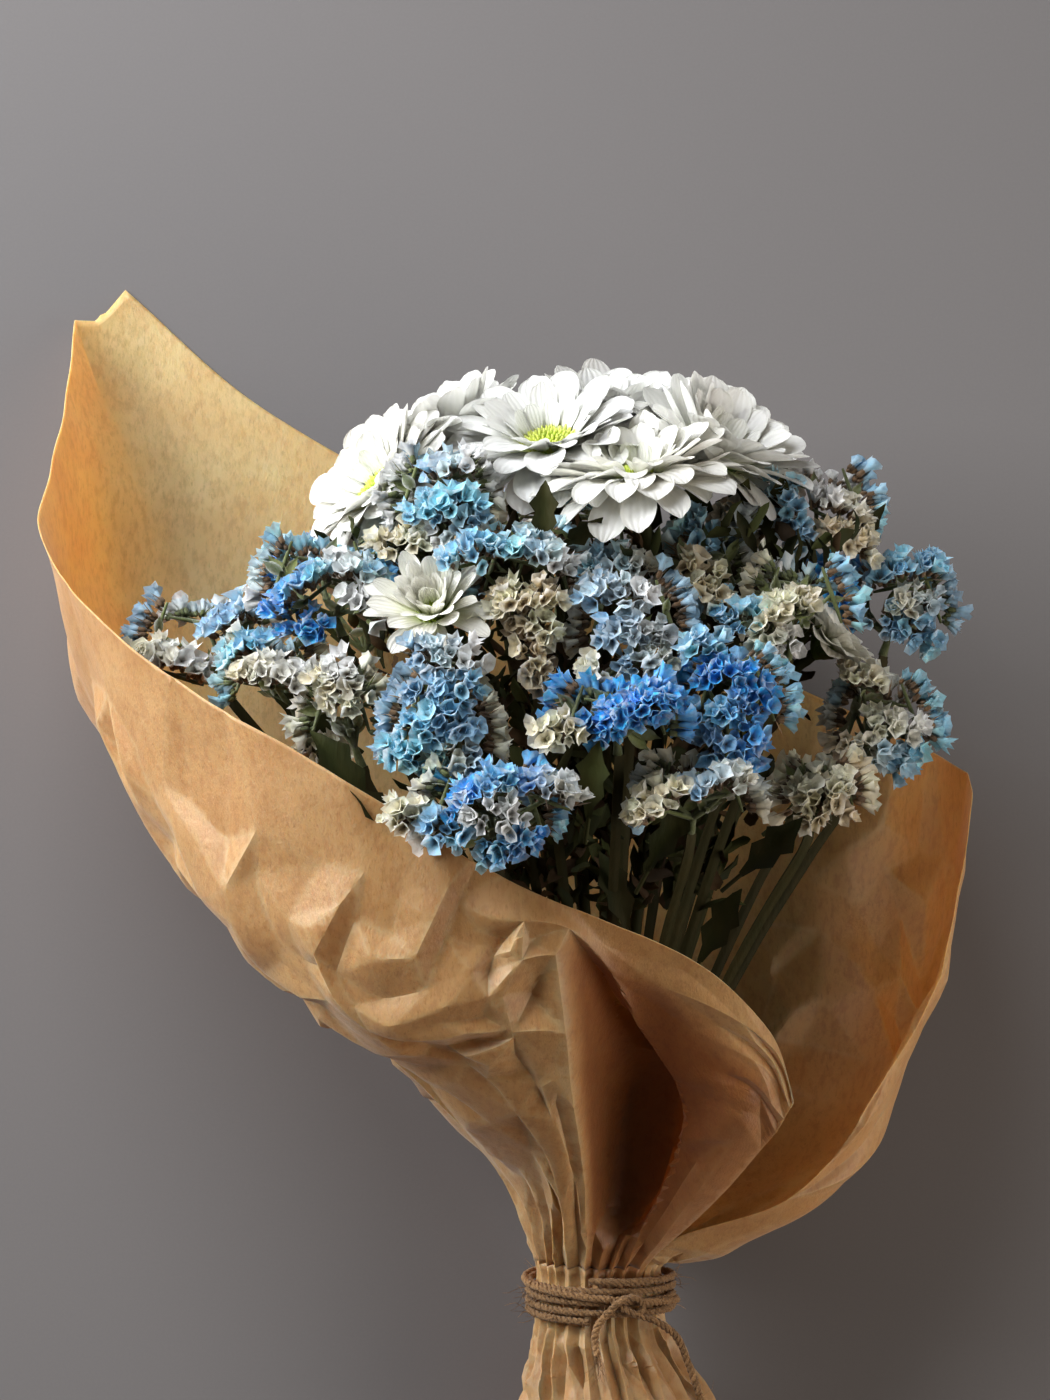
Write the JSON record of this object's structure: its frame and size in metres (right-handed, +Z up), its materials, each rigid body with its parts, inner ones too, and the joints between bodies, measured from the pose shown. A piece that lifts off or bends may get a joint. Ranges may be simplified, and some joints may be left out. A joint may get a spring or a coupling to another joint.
{
  "type": "mixed flower bouquet",
  "caption": "Mixed bouquet of white chrysanthemums and blue and cream statice, wrapped in a kraft paper cone tied with jute twine, lying on its back.",
  "frame": {"origin": "under the middle of the bouquet's bounding box, on the surface that it lies on", "axes": "+Y along the bouquet from the cut stem ends to the flower heads, +X to the right seen from above, +Z up from the surface it lies on"},
  "size_m": [0.3396, 0.5082, 0.2034],
  "materials": {
    "kraft_paper": "matte",
    "jute_twine": "matte",
    "green_stem": "matte",
    "chrysanthemum_petals": "satin",
    "statice_flowers": "matte"
  },
  "bodies": {
    "root": {"chrysanthemum_1_bloom": "chrysanthemum_petals", "chrysanthemum_1_stem": "green_stem", "chrysanthemum_2_bloom": "chrysanthemum_petals", "chrysanthemum_2_stem": "green_stem", "chrysanthemum_3_bloom": "chrysanthemum_petals", "chrysanthemum_3_stem": "green_stem", "chrysanthemum_4_bloom": "chrysanthemum_petals", "chrysanthemum_4_stem": "green_stem", "chrysanthemum_5_bloom": "chrysanthemum_petals", "chrysanthemum_5_stem": "green_stem", "chrysanthemum_6_bloom": "chrysanthemum_petals", "chrysanthemum_6_stem": "green_stem", "chrysanthemum_7_bloom": "chrysanthemum_petals", "chrysanthemum_7_stem": "green_stem", "chrysanthemum_8_bloom": "chrysanthemum_petals", "chrysanthemum_8_stem": "green_stem", "kraft_paper_wrap": "kraft_paper", "statice_01_spray": "statice_flowers", "statice_01_stem": "green_stem", "statice_02_spray": "statice_flowers", "statice_02_stem": "green_stem", "statice_03_spray": "statice_flowers", "statice_03_stem": "green_stem", "statice_04_spray": "statice_flowers", "statice_04_stem": "green_stem", "statice_05_spray": "statice_flowers", "statice_05_stem": "green_stem", "statice_06_spray": "statice_flowers", "statice_06_stem": "green_stem", "statice_07_spray": "statice_flowers", "statice_07_stem": "green_stem", "statice_08_spray": "statice_flowers", "statice_08_stem": "green_stem", "statice_09_spray": "statice_flowers", "statice_09_stem": "green_stem", "statice_10_spray": "statice_flowers", "statice_10_stem": "green_stem", "statice_11_spray": "statice_flowers", "statice_11_stem": "green_stem", "statice_12_spray": "statice_flowers", "statice_12_stem": "green_stem", "statice_13_spray": "statice_flowers", "statice_13_stem": "green_stem", "statice_14_spray": "statice_flowers", "statice_14_stem": "green_stem", "statice_15_spray": "statice_flowers", "statice_15_stem": "green_stem", "statice_16_spray": "statice_flowers", "statice_16_stem": "green_stem", "statice_17_spray": "statice_flowers", "statice_17_stem": "green_stem", "statice_18_spray": "statice_flowers", "statice_18_stem": "green_stem", "statice_19_spray": "statice_flowers", "statice_19_stem": "green_stem", "statice_20_spray": "statice_flowers", "statice_20_stem": "green_stem", "statice_21_spray": "statice_flowers", "statice_21_stem": "green_stem", "twine_tie": "jute_twine"}
  },
  "joints": []
}
